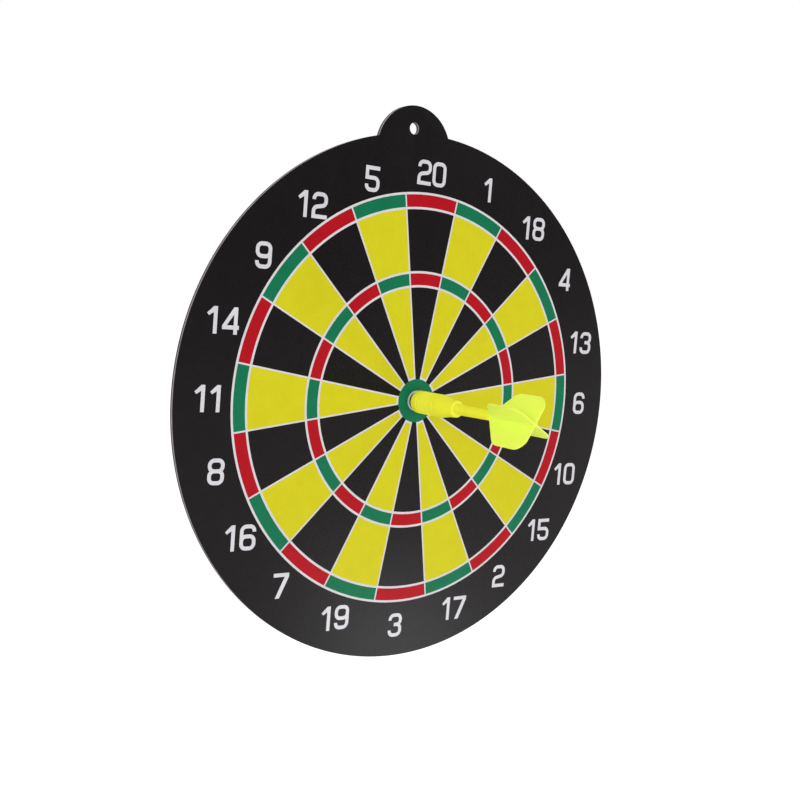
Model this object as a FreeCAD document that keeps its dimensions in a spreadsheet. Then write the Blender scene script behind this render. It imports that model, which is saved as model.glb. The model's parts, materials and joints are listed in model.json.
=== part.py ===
import FreeCAD, Part
import math
import os
import re
import Sketcher

# A magnetic dartboard: a thin round laminate with a hanging ear, printed on the face,
# and one magnetic dart stuck on the bull.  All sizes are in millimetres.
#
# Row frame: the origin is the centre of the hanging hole on the back face, +Z is up,
# +X is to the right of someone who looks at the face, and the face looks along -Y.
# Each body is drawn in its own frame, x to the right, y up, z out of the face,
# and its Placement turns that frame into the row frame.

V = FreeCAD.Vector
doc = FreeCAD.newDocument("dartboard")

# ---------------------------------------------------------------- driving dimensions
SIZES = [
    # board outline
    ("board_radius", 150.0),
    ("ear_radius", 24.8),
    ("ear_sink", 9.7),           # how far the ear's centre lies inside the disc's edge
    ("hole_above_ear", 12.3),    # hanging hole's centre above the ear's centre
    ("hole_radius", 3.25),
    # laminate, from the wall outwards
    ("backing_thickness", 1.25),
    ("core_thickness", 1.1),
    ("steel_thickness", 0.4),
    ("film_thickness", 0.25),
    # inks
    ("underprint_thickness", 0.05),
    ("ink_thickness", 0.05),
    # scoring bands, measured inwards from the disc's edge
    ("number_band", 31.95),
    ("double_band", 9.5),
    ("outer_field", 34.5),
    ("treble_band", 9.2),
    ("ring_line", 1.3),
    ("spoke_line", 0.95),
    # bull
    ("bull_radius", 12.45),
    ("bull_outline", 1.3),
    ("inner_bull_radius", 4.7),
    ("inner_bull_line", 1.2),
    # numerals
    ("numeral_edge", 19.2),      # numeral's centre in from the disc's edge
    ("numeral_height", 13.9),
    ("numeral_width", 9.5),
    ("numeral_one_width", 5.8),
    ("numeral_stroke", 2.1),
    ("numeral_corner", 2.6),     # corner radius of a stroke's centre line
    ("numeral_gap", 2.9),
    # where the dart has landed, from the disc's centre
    ("dart_right", 0.5),
    ("dart_up", -0.3),
    # magnet
    ("magnet_radius", 5.3),
    ("magnet_length", 6.0),
    ("magnet_chamfer", 0.3),
    ("magnet_stand_out", 2.5),
    # barrel
    ("barrel_wall", 1.15),       # plastic around the magnet's pocket
    ("barrel_rim_round", 0.8),
    ("barrel_grip_start", 7.4),  # first fine grip groove above the face
    ("grip_pitch", 2.2),
    ("grip_groove_width", 1.1),
    ("grip_groove_depth", 0.45),
    ("collar_start", 18.6),
    ("collar_pitch", 3.2),
    ("collar_groove_width", 0.8),
    ("collar_groove_depth", 0.4),
    ("groove_flank", 0.3),       # each sloping side's share of a groove's width
    ("barrel_straight_end", 24.5),
    ("barrel_shoulder_end", 32.2),
    ("barrel_shoulder_radius", 5.05),
    ("barrel_length_end", 38.2),
    ("barrel_tail_radius", 4.6),
    # stem
    ("plug_radius", 1.8),
    ("plug_length", 9.0),
    ("plug_end_gap", 0.6),
    ("stem_front_radius", 3.3),
    ("stem_neck_radius", 3.05),
    ("stem_neck_length", 1.4),
    ("stem_tail_radius", 2.6),
    ("stem_length", 28.3),
    # flight
    ("pin_radius", 1.2),
    ("pin_length", 7.0),
    ("pin_end_gap", 0.5),
    ("flight_length", 34.5),
    ("flight_sweep", 11.3),
    ("flight_span_radius", 15.7),
    ("flight_root_radius", 2.4),
    ("flight_thickness", 0.8),
    ("flight_corner", 7.6),
    # running and push fits, radial
    ("fit_clearance", 0.05),
    ("magnet_back_gap", 0.1),
]

# counts and angles
SECTORS = 20
GRIP_GROOVES = 5
COLLAR_GROOVES = 2
WINGS = 4
PRINT_TILT = 5.9       # degrees that the print is turned clockwise from the hanging ear
FLIGHT_TURN = 53.6     # degrees from the row's X to the first wing

sizes = doc.addObject("Spreadsheet::Sheet", "Sizes")
for row, (alias, number) in enumerate(SIZES, start=1):
    sizes.set("A%d" % row, alias)
    sizes.set("B%d" % row, str(number))
    sizes.setAlias("B%d" % row, alias)

# ---------------------------------------------------------------- worked-out places
# Each is a formula of the driving dimensions; heights are above the board's printed face.
PLACES = [
    ("wall", "0"),
    ("ear_height", "board_radius - ear_sink"),
    ("hole_height", "board_radius - ear_sink + hole_above_ear"),
    ("dart_rise", "dart_up - hole_height"),
    ("core_back", "backing_thickness"),
    ("steel_back", "backing_thickness + core_thickness"),
    ("film_back", "backing_thickness + core_thickness + steel_thickness"),
    ("board_face", "backing_thickness + core_thickness + steel_thickness + film_thickness"),
    ("double_outer", "board_radius - number_band"),
    ("double_inner", "double_outer - double_band"),
    ("treble_outer", "double_inner - outer_field"),
    ("treble_inner", "treble_outer - treble_band"),
    ("double_bed_outer", "double_outer - ring_line"),
    ("double_bed_inner", "double_inner + ring_line"),
    ("treble_bed_outer", "treble_outer - ring_line"),
    ("treble_bed_inner", "treble_inner + ring_line"),
    ("yellow_inner_start", "bull_radius + bull_outline"),
    ("half_spoke", "spoke_line / 2"),
    ("bull_hole", "inner_bull_radius + inner_bull_line"),
    ("underprint_wedge_inner", "bull_radius - bull_outline"),
    ("underprint_wedge_outer", "double_outer - double_band / 2"),
    ("colour_base", "board_face + underprint_thickness"),
    ("print_top", "board_face + underprint_thickness + ink_thickness"),
    ("pocket_radius", "magnet_radius + fit_clearance"),
    ("pocket_bottom", "magnet_length + magnet_back_gap"),
    ("barrel_radius", "magnet_radius + fit_clearance + barrel_wall"),
    ("grip_lift", "barrel_radius + grip_groove_depth"),
    ("grip_root", "barrel_radius - grip_groove_depth"),
    ("grip_high", "barrel_grip_start + grip_groove_width"),
    ("grip_root_low", "barrel_grip_start + grip_groove_width * groove_flank"),
    ("grip_root_high", "barrel_grip_start + grip_groove_width * (1 - groove_flank)"),
    ("collar_lift", "barrel_radius + collar_groove_depth"),
    ("collar_root", "barrel_radius - collar_groove_depth"),
    ("collar_high", "collar_start + collar_groove_width"),
    ("collar_root_low", "collar_start + collar_groove_width * groove_flank"),
    ("collar_root_high", "collar_start + collar_groove_width * (1 - groove_flank)"),
    ("magnet_flat", "magnet_radius - magnet_chamfer"),
    ("magnet_shoulder", "magnet_length - magnet_chamfer"),
    ("socket_radius", "plug_radius + fit_clearance"),
    ("plug_front", "barrel_length_end - plug_length"),
    ("socket_bottom", "barrel_length_end - plug_length - plug_end_gap"),
    ("stem_neck", "barrel_length_end + stem_neck_length"),
    ("stem_end", "barrel_length_end + stem_length"),
    ("pin_bore_radius", "pin_radius + fit_clearance"),
    ("pin_bore_bottom", "stem_end - pin_length - pin_end_gap"),
    ("pin_front", "stem_end - pin_length"),
    ("wing_corner", "stem_end + flight_sweep"),
    ("flight_end", "stem_end + flight_length"),
]

places = doc.addObject("Spreadsheet::Sheet", "Places")
driving = {alias for alias, number in SIZES}


def named(word):
    """A word of a formula as the sheet cell that holds it."""
    if word in driving:
        return "Sizes." + word
    return word


for row, (alias, formula) in enumerate(PLACES, start=1):
    cell = "B%d" % row
    places.set("A%d" % row, alias)
    places.set(cell, "=" + re.sub("[a-z_]+", lambda found: named(found.group()), formula))
    places.setAlias(cell, alias)
doc.recompute()


def at(alias):
    """The number that a sheet holds under this alias."""
    sheet = sizes if alias in driving else places
    return float(getattr(sheet, alias))


def link(alias):
    """The expression that reads this alias."""
    return ("Sizes." if alias in driving else "Places.") + alias


# ---------------------------------------------------------------- bodies and sketches
parts = []
TO_ROW = FreeCAD.Rotation(V(1, 0, 0), 90)      # a body's z to the row's -Y, its y to +Z


def seat(part, height_alias, turn=0.0, aside=V(0, 0, 0)):
    """Puts a part's own frame this high above the wall, on the board's axis or aside from it."""
    rotation = TO_ROW * FreeCAD.Rotation(V(0, 0, 1), turn)
    centre = V(0, -at(height_alias), -at("hole_height"))
    part.Placement = FreeCAD.Placement(centre + rotation.multVec(aside), rotation)
    part.setExpression(".Placement.Base.y", "-" + link(height_alias))
    if aside.Length == 0:
        part.setExpression(".Placement.Base.z", "-Places.hole_height")
    parts.append(part)


def seat_dart(part, turn=0.0):
    """Puts a dart piece on the print, where the dart has landed."""
    rotation = TO_ROW * FreeCAD.Rotation(V(0, 0, 1), turn)
    landed = V(at("dart_right"), -at("print_top"), at("dart_rise"))
    part.Placement = FreeCAD.Placement(landed, rotation)
    part.setExpression(".Placement.Base.x", link("dart_right"))
    part.setExpression(".Placement.Base.y", "-" + link("print_top"))
    part.setExpression(".Placement.Base.z", link("dart_rise"))
    parts.append(part)


def new_body(label):
    body = doc.addObject("PartDesign::Body", label)
    body.Label = label
    return body


def new_sketch(body, role, name):
    """A sketch on one of the body's own origin planes."""
    sketch = body.newObject("Sketcher::SketchObject", name)
    plane = [item for item in body.Origin.OriginFeatures if item.Role == role][0]
    sketch.AttachmentSupport = [(plane, "")]
    sketch.MapMode = "FlatFace"
    return sketch


def dimension(sketch, name, alias, kind, *places_of_it):
    """A constraint whose value is read from a sheet."""
    index = sketch.addConstraint(Sketcher.Constraint(kind, *places_of_it, at(alias)))
    sketch.renameConstraint(index, name)
    sketch.setExpression("Constraints." + name, link(alias))


def circle(sketch, name, alias):
    """A circle about the origin with its radius from a sheet."""
    index = sketch.addGeometry(Part.Circle(V(0, 0, 0), V(0, 0, 1), at(alias)))
    sketch.addConstraint(Sketcher.Constraint("Coincident", index, 3, -1, 1))
    dimension(sketch, name, alias, "Radius", index)


def polygon(sketch, corners):
    """A closed outline through corners given as pairs of aliases; 0 puts one on the axis."""
    points = []
    for across, along in corners:
        x = 0.0 if across == 0 else at(across)
        y = 0.0 if along == 0 else at(along)
        points.append(V(x, y, 0))
    count = len(points)
    for index in range(count):
        sketch.addGeometry(Part.LineSegment(points[index], points[(index + 1) % count]))
    for index in range(count):
        following = (index + 1) % count
        sketch.addConstraint(Sketcher.Constraint("Coincident", index, 2, following, 1))
    for index, (across, along) in enumerate(corners):
        if across == 0:
            sketch.addConstraint(Sketcher.Constraint("PointOnObject", index, 1, -2))
        else:
            dimension(sketch, "across%d" % index, across, "DistanceX", -1, 1, index, 1)
        if along == 0:
            sketch.addConstraint(Sketcher.Constraint("PointOnObject", index, 1, -1))
        else:
            dimension(sketch, "along%d" % index, along, "DistanceY", -1, 1, index, 1)


def pad(body, sketch, name, alias):
    feature = body.newObject("PartDesign::Pad", name)
    feature.Profile = sketch
    feature.Length = at(alias)
    feature.setExpression("Length", link(alias))
    return feature


def revolve(body, sketch, name):
    feature = body.newObject("PartDesign::Revolution", name)
    feature.Profile = sketch
    feature.ReferenceAxis = (sketch, ["V_Axis"])
    feature.Angle = 360


def polar(body, sketch, original, count):
    """Copies a feature round the sketch's normal."""
    feature = body.newObject("PartDesign::PolarPattern", original.Name + "_round")
    feature.Originals = [original]
    feature.Axis = (sketch, ["N_Axis"])
    feature.Angle = 360
    feature.Occurrences = count
    body.Tip = feature


# ---------------------------------------------------------------- board layers
def board_layer(label, thickness_alias, back_alias):
    """One sheet of the laminate: a disc with a round hanging ear and its hole."""
    body = new_body(label)
    sketch = new_sketch(body, "XY_Plane", label + "_outline")
    disc = at("board_radius")
    ear = at("ear_radius")
    rise = at("ear_height")
    # the two circles cross at this height, on either side of the middle
    cross_y = (disc ** 2 - ear ** 2 + rise ** 2) / (2 * rise)
    cross_x = math.sqrt(disc ** 2 - cross_y ** 2)
    disc_angle = math.atan2(cross_y, cross_x)
    ear_angle = math.atan2(cross_y - rise, cross_x)
    disc_circle = Part.Circle(V(0, 0, 0), V(0, 0, 1), disc)
    ear_circle = Part.Circle(V(0, rise, 0), V(0, 0, 1), ear)
    disc_arc = Part.ArcOfCircle(disc_circle, math.pi - disc_angle, 2 * math.pi + disc_angle)
    ear_arc = Part.ArcOfCircle(ear_circle, ear_angle, math.pi - ear_angle)
    sketch.addGeometry(disc_arc)
    sketch.addGeometry(ear_arc)
    hole = sketch.addGeometry(Part.Circle(V(0, at("hole_height"), 0), V(0, 0, 1), at("hole_radius")))
    sketch.addConstraint(Sketcher.Constraint("Coincident", 0, 2, 1, 1))
    sketch.addConstraint(Sketcher.Constraint("Coincident", 1, 2, 0, 1))
    sketch.addConstraint(Sketcher.Constraint("Coincident", 0, 3, -1, 1))
    sketch.addConstraint(Sketcher.Constraint("PointOnObject", 1, 3, -2))
    sketch.addConstraint(Sketcher.Constraint("PointOnObject", hole, 3, -2))
    dimension(sketch, "disc", "board_radius", "Radius", 0)
    dimension(sketch, "ear", "ear_radius", "Radius", 1)
    dimension(sketch, "rise", "ear_height", "DistanceY", -1, 1, 1, 3)
    dimension(sketch, "hole", "hole_radius", "Radius", hole)
    dimension(sketch, "hole_rise", "hole_height", "DistanceY", -1, 1, hole, 3)
    pad(body, sketch, label + "_pad", thickness_alias)
    seat(body, back_alias)


board_layer("backing_board", "backing_thickness", "wall")
board_layer("core_board", "core_thickness", "core_back")
board_layer("steel_sheet", "steel_thickness", "steel_back")
board_layer("face_film", "film_thickness", "film_back")


# ---------------------------------------------------------------- printed beds
SECTOR_ANGLE = 2 * math.pi / SECTORS


def bed_sketch(body, name, inner_alias, outer_alias, sector, inset):
    """One bed between two rings, centred on a sector that is counted clockwise from the top.

    Its two sides are parallel to the sector's edges, half a spoke line inside them,
    or half a line outside them where inset is -1.
    """
    sketch = new_sketch(body, "XY_Plane", name)
    middle = math.pi / 2 - sector * SECTOR_ANGLE
    half_line = at("half_spoke") * inset
    inner = at(inner_alias)
    outer = at(outer_alias)
    inner_turn = SECTOR_ANGLE / 2 - math.asin(half_line / inner)
    outer_turn = SECTOR_ANGLE / 2 - math.asin(half_line / outer)
    inner_circle = Part.Circle(V(0, 0, 0), V(0, 0, 1), inner)
    outer_circle = Part.Circle(V(0, 0, 0), V(0, 0, 1), outer)
    sketch.addGeometry(Part.ArcOfCircle(inner_circle, middle - inner_turn, middle + inner_turn))
    sketch.addGeometry(Part.ArcOfCircle(outer_circle, middle - outer_turn, middle + outer_turn))
    for side in (-1, 1):
        inner_angle = middle + side * inner_turn
        outer_angle = middle + side * outer_turn
        start = V(inner * math.cos(inner_angle), inner * math.sin(inner_angle), 0)
        end = V(outer * math.cos(outer_angle), outer * math.sin(outer_angle), 0)
        line = sketch.addGeometry(Part.LineSegment(start, end))
        arc_end = 1 if side < 0 else 2
        sketch.addConstraint(Sketcher.Constraint("Coincident", line, 1, 0, arc_end))
        sketch.addConstraint(Sketcher.Constraint("Coincident", line, 2, 1, arc_end))
        edge_angle = middle + side * SECTOR_ANGLE / 2
        sketch.addConstraint(Sketcher.Constraint("Angle", line, edge_angle))
        dimension(sketch, "side%d" % (side + 1), "half_spoke", "Distance", -1, 1, line)
    sketch.addConstraint(Sketcher.Constraint("Coincident", 0, 3, -1, 1))
    sketch.addConstraint(Sketcher.Constraint("Coincident", 1, 3, -1, 1))
    dimension(sketch, "inner", inner_alias, "Radius", 0)
    dimension(sketch, "outer", outer_alias, "Radius", 1)
    return sketch


def printed_beds(label, inner_alias, outer_alias, sector):
    """Every second bed of one ring, in one ink on the white underprint."""
    body = new_body(label)
    body.AllowCompound = True
    sketch = bed_sketch(body, label + "_bed", inner_alias, outer_alias, sector, 1)
    bed = pad(body, sketch, label + "_pad", "ink_thickness")
    polar(body, sketch, bed, SECTORS // 2)
    seat(body, "colour_base", -PRINT_TILT)


def white_underprint():
    """The white ink under the colours: two rings, the bull and ten wedges in one layer."""
    body = new_body("white_underprint")
    rings = new_sketch(body, "XY_Plane", "underprint_rings")
    for alias in ("double_outer", "double_inner", "treble_outer", "treble_inner", "bull_radius"):
        circle(rings, alias, alias)
    body.AllowCompound = True
    pad(body, rings, "underprint_rings_pad", "underprint_thickness")
    wedge = bed_sketch(body, "underprint_wedge", "underprint_wedge_inner", "underprint_wedge_outer", 1, -1)
    wedge_pad = pad(body, wedge, "underprint_wedge_pad", "underprint_thickness")
    polar(body, wedge, wedge_pad, SECTORS // 2)
    seat(body, "board_face", -PRINT_TILT)


def bull_ink(label, *radius_aliases):
    body = new_body(label)
    sketch = new_sketch(body, "XY_Plane", label + "_circles")
    for alias in radius_aliases:
        circle(sketch, alias, alias)
    pad(body, sketch, label + "_pad", "ink_thickness")
    seat(body, "colour_base", -PRINT_TILT)


white_underprint()
printed_beds("yellow_outer_beds", "treble_outer", "double_inner", 1)
printed_beds("yellow_inner_beds", "yellow_inner_start", "treble_inner", 1)
printed_beds("red_double_beds", "double_bed_inner", "double_bed_outer", 0)
printed_beds("red_treble_beds", "treble_bed_inner", "treble_bed_outer", 0)
printed_beds("green_double_beds", "double_bed_inner", "double_bed_outer", 1)
printed_beds("green_treble_beds", "treble_bed_inner", "treble_bed_outer", 1)
bull_ink("green_outer_bull", "bull_radius", "bull_hole")
bull_ink("red_inner_bull", "inner_bull_radius")


# ---------------------------------------------------------------- numerals
# A digit is drawn in a box numeral_width by numeral_height, as strokes of one width.
HIGH = at("numeral_height")
WIDE = at("numeral_width")
STROKE = at("numeral_stroke")
LEFT = STROKE / 2
RIGHT = WIDE - STROKE / 2
BASE = STROKE / 2
TOP = HIGH - STROKE / 2
WAIST = 0.52 * HIGH            # height of the middle stroke
HOOK = 0.29 * HIGH             # how far an open stroke comes back down its side
CORNER = min(at("numeral_corner"), 0.49 * (TOP - WAIST))    # two corners fit in the upper half


def rounded_wire(corners, radii):
    """A closed outline of straight runs, with an arc of the given radius at each corner."""
    count = len(corners)
    turns = []
    for index in range(count):
        corner = V(*corners[index], 0)
        back = (V(*corners[index - 1], 0) - corner).normalize()
        ahead = (V(*corners[(index + 1) % count], 0) - corner).normalize()
        radius = radii[index]
        if radius <= 0:
            turns.append((corner, None, corner))
            continue
        half_angle = back.getAngle(ahead) / 2
        reach = radius / math.tan(half_angle)
        centre = corner + (back + ahead).normalize() * (radius / math.sin(half_angle))
        middle = centre - (back + ahead).normalize() * radius
        turns.append((corner + back * reach, middle, corner + ahead * reach))
    edges = []
    for index in range(count):
        start, middle, end = turns[index]
        if middle is not None:
            edges.append(Part.Arc(start, middle, end).toShape())
        next_start = turns[(index + 1) % count][0]
        if (next_start - end).Length > 1e-6:
            edges.append(Part.LineSegment(end, next_start).toShape())
    return Part.Wire(edges)


def plate(corners, radii=None):
    """A flat plate of ink with this outline."""
    wire = rounded_wire(corners, radii or [0] * len(corners))
    return Part.Face(wire).extrude(V(0, 0, at("underprint_thickness")))


def loop(left, base, right, top):
    """A closed stroke whose centre line is a rectangle with round corners."""
    grow = STROKE / 2
    outer = [(left - grow, base - grow), (right + grow, base - grow),
             (right + grow, top + grow), (left - grow, top + grow)]
    inner = [(left + grow, base + grow), (right - grow, base + grow),
             (right - grow, top - grow), (left + grow, top - grow)]
    return plate(outer, [CORNER + grow] * 4).cut(plate(inner, [CORNER - grow] * 4))


def stroke(path, radii):
    """An open stroke along a path, square at its ends, with the given centre-line radii."""
    grow = STROKE / 2
    points = [V(*point, 0) for point in path]
    runs = [(points[i + 1] - points[i]).normalize() for i in range(len(points) - 1)]
    sides = [V(-run.y, run.x, 0) for run in runs]
    left = []
    right = []
    for index, point in enumerate(points):
        if index == 0 or index == len(points) - 1:
            offset = sides[0 if index == 0 else -1] * grow
            left.append((point + offset, 0))
            right.append((point - offset, 0))
            continue
        before = sides[index - 1]
        after = sides[index]
        offset = (before + after) * (grow / (1 + before.dot(after)))
        radius = radii[index - 1]
        turns_left = runs[index - 1].cross(runs[index]).z > 0
        near = max(radius - grow, 0)
        far = radius + grow if radius > 0 else 0
        left.append((point + offset, near if turns_left else far))
        right.append((point - offset, far if turns_left else near))
    outline = left + right[::-1]
    return plate([(point.x, point.y) for point, radius in outline], [radius for point, radius in outline])


def six():
    arm = stroke([(LEFT, WAIST / 2), (LEFT, TOP), (RIGHT, TOP), (RIGHT, HIGH - HOOK)], [CORNER, CORNER])
    return loop(LEFT, BASE, RIGHT, WAIST + STROKE / 8).fuse(arm)


def nine():
    digit = six()
    digit.rotate(V(WIDE / 2, HIGH / 2, 0), V(0, 0, 1), 180)
    return digit


def one():
    wide = at("numeral_one_width")
    stem = wide - STROKE
    return plate([(stem, 0), (wide, 0), (wide, HIGH), (stem, HIGH), (0, 0.75 * HIGH),
                  (STROKE / 2, 0.66 * HIGH), (stem, 0.78 * HIGH)])


def two():
    return stroke([(LEFT, HIGH - HOOK), (LEFT, TOP), (RIGHT, TOP), (RIGHT, WAIST),
                   (LEFT, 0.42 * HIGH), (LEFT, BASE), (WIDE, BASE)],
                  [CORNER, CORNER, CORNER, CORNER, 0])


def three():
    bar_start = 0.42 * WIDE
    upper = stroke([(LEFT, HIGH - HOOK), (LEFT, TOP), (RIGHT, TOP), (RIGHT, WAIST), (bar_start, WAIST)],
                   [CORNER, CORNER, CORNER])
    lower = stroke([(bar_start, WAIST), (RIGHT, WAIST), (RIGHT, BASE), (LEFT, BASE), (LEFT, HOOK)],
                   [CORNER, CORNER, CORNER])
    return upper.fuse(lower)


def four():
    stem = WIDE - 1.45 * STROKE
    bar = 0.18 * HIGH
    outline = plate([(stem, 0), (stem + STROKE, 0), (stem + STROKE, bar), (WIDE, bar), (WIDE, bar + STROKE),
                     (stem + STROKE, bar + STROKE), (stem + STROKE, HIGH), (stem - 0.1 * STROKE, HIGH),
                     (0, bar + 0.9 * STROKE), (0, bar), (stem, bar)])
    counter = plate([(0.27 * WIDE, bar + STROKE), (stem, bar + STROKE), (stem, 0.74 * HIGH)])
    return outline.cut(counter)


def five():
    shelf = WAIST + STROKE / 6
    return stroke([(0.97 * WIDE, TOP), (LEFT, TOP), (LEFT, shelf), (RIGHT, shelf),
                   (RIGHT, BASE), (LEFT, BASE), (LEFT, HOOK)],
                  [0, 0, CORNER, CORNER, CORNER])


def seven():
    return plate([(0.16 * WIDE, 0), (0.43 * WIDE, 0), (WIDE, HIGH - STROKE), (WIDE, HIGH), (0, HIGH),
                  (0, HIGH - STROKE), (WIDE - 1.25 * STROKE, HIGH - STROKE)])


def eight():
    return loop(LEFT, BASE, RIGHT, WAIST).fuse(loop(LEFT, WAIST, RIGHT, TOP))


def zero():
    return loop(LEFT, BASE, RIGHT, TOP)


DIGITS = [zero, one, two, three, four, five, six, seven, eight, nine]


def number_shape(number):
    """The digits of a number side by side, centred on the origin."""
    text = str(number)
    # a round digit after a round digit stands closer than one beside a 1
    gap = at("numeral_gap") if "1" in text else at("numeral_gap") / 3
    widths = [at("numeral_one_width") if character == "1" else WIDE for character in text]
    pen = -(sum(widths) + gap * (len(text) - 1)) / 2
    solids = []
    for character, width in zip(text, widths):
        digit = DIGITS[int(character)]().removeSplitter()
        digit.translate(V(pen, -HIGH / 2, 0))
        solids.extend(digit.Solids)
        pen += width + gap
    return Part.makeCompound(solids)


# Numbers clockwise from the top, each with its small shift right and up from an even ring,
# because the print sets each number by eye in its part of the black band.
NUMBERS = [
    (20, -1.3, -1.9), (1, -0.3, 0.4), (18, 1.6, 0.4), (4, 2.6, 0.8), (13, 2.7, -1.6),
    (6, -0.3, 0.0), (10, -1.1, -5.4), (15, -0.9, -4.5), (2, -2.0, -3.1), (17, 0.5, -1.5),
    (3, -2.3, -1.0), (19, -3.9, 1.2), (7, -4.0, 4.2), (16, -1.5, 3.2), (8, 0.5, 2.2),
    (11, -0.6, -0.5), (14, -0.9, -1.0), (9, 1.1, -2.8), (12, -0.8, -2.9), (5, -0.8, -3.5),
]
for sector, (number, right, up) in enumerate(NUMBERS):
    label = "numeral_%02d" % number
    angle = math.pi / 2 - sector * SECTOR_ANGLE
    ring = at("board_radius") - at("numeral_edge")
    numeral = doc.addObject("Part::Feature", label)
    numeral.Label = label
    numeral.Shape = number_shape(number)
    aside = V(ring * math.cos(angle) + right, ring * math.sin(angle) + up, 0)
    seat(numeral, "board_face", -PRINT_TILT, aside)


# ---------------------------------------------------------------- dart
def tip_magnet():
    body = new_body("tip_magnet")
    sketch = new_sketch(body, "XZ_Plane", "magnet_profile")
    polygon(sketch, [(0, 0), ("magnet_flat", 0), ("magnet_radius", "magnet_chamfer"),
                     ("magnet_radius", "magnet_shoulder"), ("magnet_flat", "magnet_length"),
                     (0, "magnet_length")])
    revolve(body, sketch, "magnet_turned")
    seat_dart(body)


def groove_row(body, name, start, count_of_rings, pitch_alias):
    """Rings with sloping flanks: one is cut from a sketch and repeated along the barrel."""
    sketch = new_sketch(body, "XZ_Plane", name + "_sketch")
    polygon(sketch, [(name + "_lift", start), (name + "_lift", name + "_high"),
                     (name + "_root", name + "_root_high"), (name + "_root", name + "_root_low")])
    ring = body.newObject("PartDesign::Groove", name + "_ring")
    ring.Profile = sketch
    ring.ReferenceAxis = (sketch, ["V_Axis"])
    ring.Angle = 360
    row = body.newObject("PartDesign::LinearPattern", name + "_row")
    row.Originals = [ring]
    row.Direction = (sketch, ["V_Axis"])
    row.Length = at(pitch_alias) * (count_of_rings - 1)
    row.setExpression("Length", "%s * %d" % (link(pitch_alias), count_of_rings - 1))
    row.Occurrences = count_of_rings
    body.Tip = row


def barrel():
    """The moulded barrel: magnet pocket in front, grip rings, shoulder, socket behind."""
    body = new_body("barrel")
    sketch = new_sketch(body, "XZ_Plane", "barrel_profile")
    polygon(sketch, [("pocket_radius", "magnet_stand_out"), ("barrel_radius", "magnet_stand_out"),
                     ("barrel_radius", "barrel_straight_end"),
                     ("barrel_shoulder_radius", "barrel_shoulder_end"),
                     ("barrel_tail_radius", "barrel_length_end"), ("socket_radius", "barrel_length_end"),
                     ("socket_radius", "socket_bottom"), (0, "socket_bottom"), (0, "pocket_bottom"),
                     ("pocket_radius", "pocket_bottom")])
    revolve(body, sketch, "barrel_turned")
    groove_row(body, "grip", "barrel_grip_start", GRIP_GROOVES, "grip_pitch")
    groove_row(body, "collar", "collar_start", COLLAR_GROOVES, "collar_pitch")
    doc.recompute()
    turned = body.Tip
    rims = []
    for number, edge in enumerate(turned.Shape.Edges, start=1):
        on_rim = abs(edge.BoundBox.ZMax - at("magnet_stand_out")) < 1e-4
        if on_rim and edge.BoundBox.XLength > 2 * at("barrel_radius") - 1e-3:
            rims.append("Edge%d" % number)
    rounded = body.newObject("PartDesign::Fillet", "barrel_rim")
    rounded.Base = (turned, rims)
    rounded.Radius = at("barrel_rim_round")
    rounded.setExpression("Radius", "Sizes.barrel_rim_round")
    body.Tip = rounded
    seat_dart(body)


def stem():
    """The moulded stem: a plug for the barrel in front and a bore for the flight behind."""
    body = new_body("stem")
    sketch = new_sketch(body, "XZ_Plane", "stem_profile")
    polygon(sketch, [(0, "plug_front"), ("plug_radius", "plug_front"), ("plug_radius", "barrel_length_end"),
                     ("stem_front_radius", "barrel_length_end"), ("stem_neck_radius", "stem_neck"),
                     ("stem_tail_radius", "stem_end"), ("pin_bore_radius", "stem_end"),
                     ("pin_bore_radius", "pin_bore_bottom"), (0, "pin_bore_bottom")])
    revolve(body, sketch, "stem_turned")
    seat_dart(body)


def flight():
    """Four swept wings round a pin, one moulding."""
    body = new_body("flight")
    outline = new_sketch(body, "XZ_Plane", "pin_profile")
    polygon(outline, [(0, "pin_front"), ("pin_radius", "pin_front"), ("pin_radius", "flight_end"),
                      (0, "flight_end")])
    revolve(body, outline, "pin_turned")
    wing_outline = new_sketch(body, "XZ_Plane", "wing_outline")
    polygon(wing_outline, [(0, "stem_end"), ("flight_root_radius", "stem_end"),
                           ("flight_span_radius", "wing_corner"), ("flight_span_radius", "flight_end"),
                           (0, "flight_end")])
    wing = pad(body, wing_outline, "wing", "flight_thickness")
    wing.Midplane = True
    spindle = new_sketch(body, "XY_Plane", "wing_axis")
    polar(body, spindle, wing, WINGS)
    doc.recompute()
    winged = body.Tip
    corners = []
    for number, edge in enumerate(winged.Shape.Edges, start=1):
        box = edge.BoundBox
        out_there = edge.CenterOfMass.sub(V(0, 0, edge.CenterOfMass.z)).Length
        if box.ZLength < 1e-4 and abs(out_there - at("flight_span_radius")) < 0.05:
            corners.append("Edge%d" % number)
    rounded = body.newObject("PartDesign::Fillet", "wing_corners")
    rounded.Base = (winged, corners)
    rounded.Radius = at("flight_corner")
    rounded.setExpression("Radius", "Sizes.flight_corner")
    body.Tip = rounded
    seat_dart(body, FLIGHT_TURN)


tip_magnet()
barrel()
stem()
flight()

# ---------------------------------------------------------------- checks and files
doc.recompute()
for item in doc.Objects:
    if "Invalid" in item.State or "Error" in item.State:
        raise RuntimeError("%s did not compute: %s" % (item.Label, item.State))
for part in parts:
    if part.Shape.isNull() or not part.Shape.isValid():
        raise RuntimeError("%s has no valid shape" % part.Label)
    if not part.Shape.Solids:
        raise RuntimeError("%s has no solid" % part.Label)

os.makedirs("parts", exist_ok=True)
for part in parts:
    part.Shape.exportStep("parts/%s.step" % part.Label)
    print("%-18s solids %3d  volume %11.3f mm3" % (part.Label, len(part.Shape.Solids), part.Shape.Volume))
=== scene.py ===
# %% [markdown]
# # A magnetic dartboard and its dart
#
# The object is a thin round laminate with a hanging ear: a black printed film on a steel
# sheet, on a grey paper board, on a dark backing board. One dart stands on the bull, held
# by a small magnet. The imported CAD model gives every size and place, so this script only
# makes better surfaces round it and finishes every part.

# %% Load the frame
import json
import math

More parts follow.
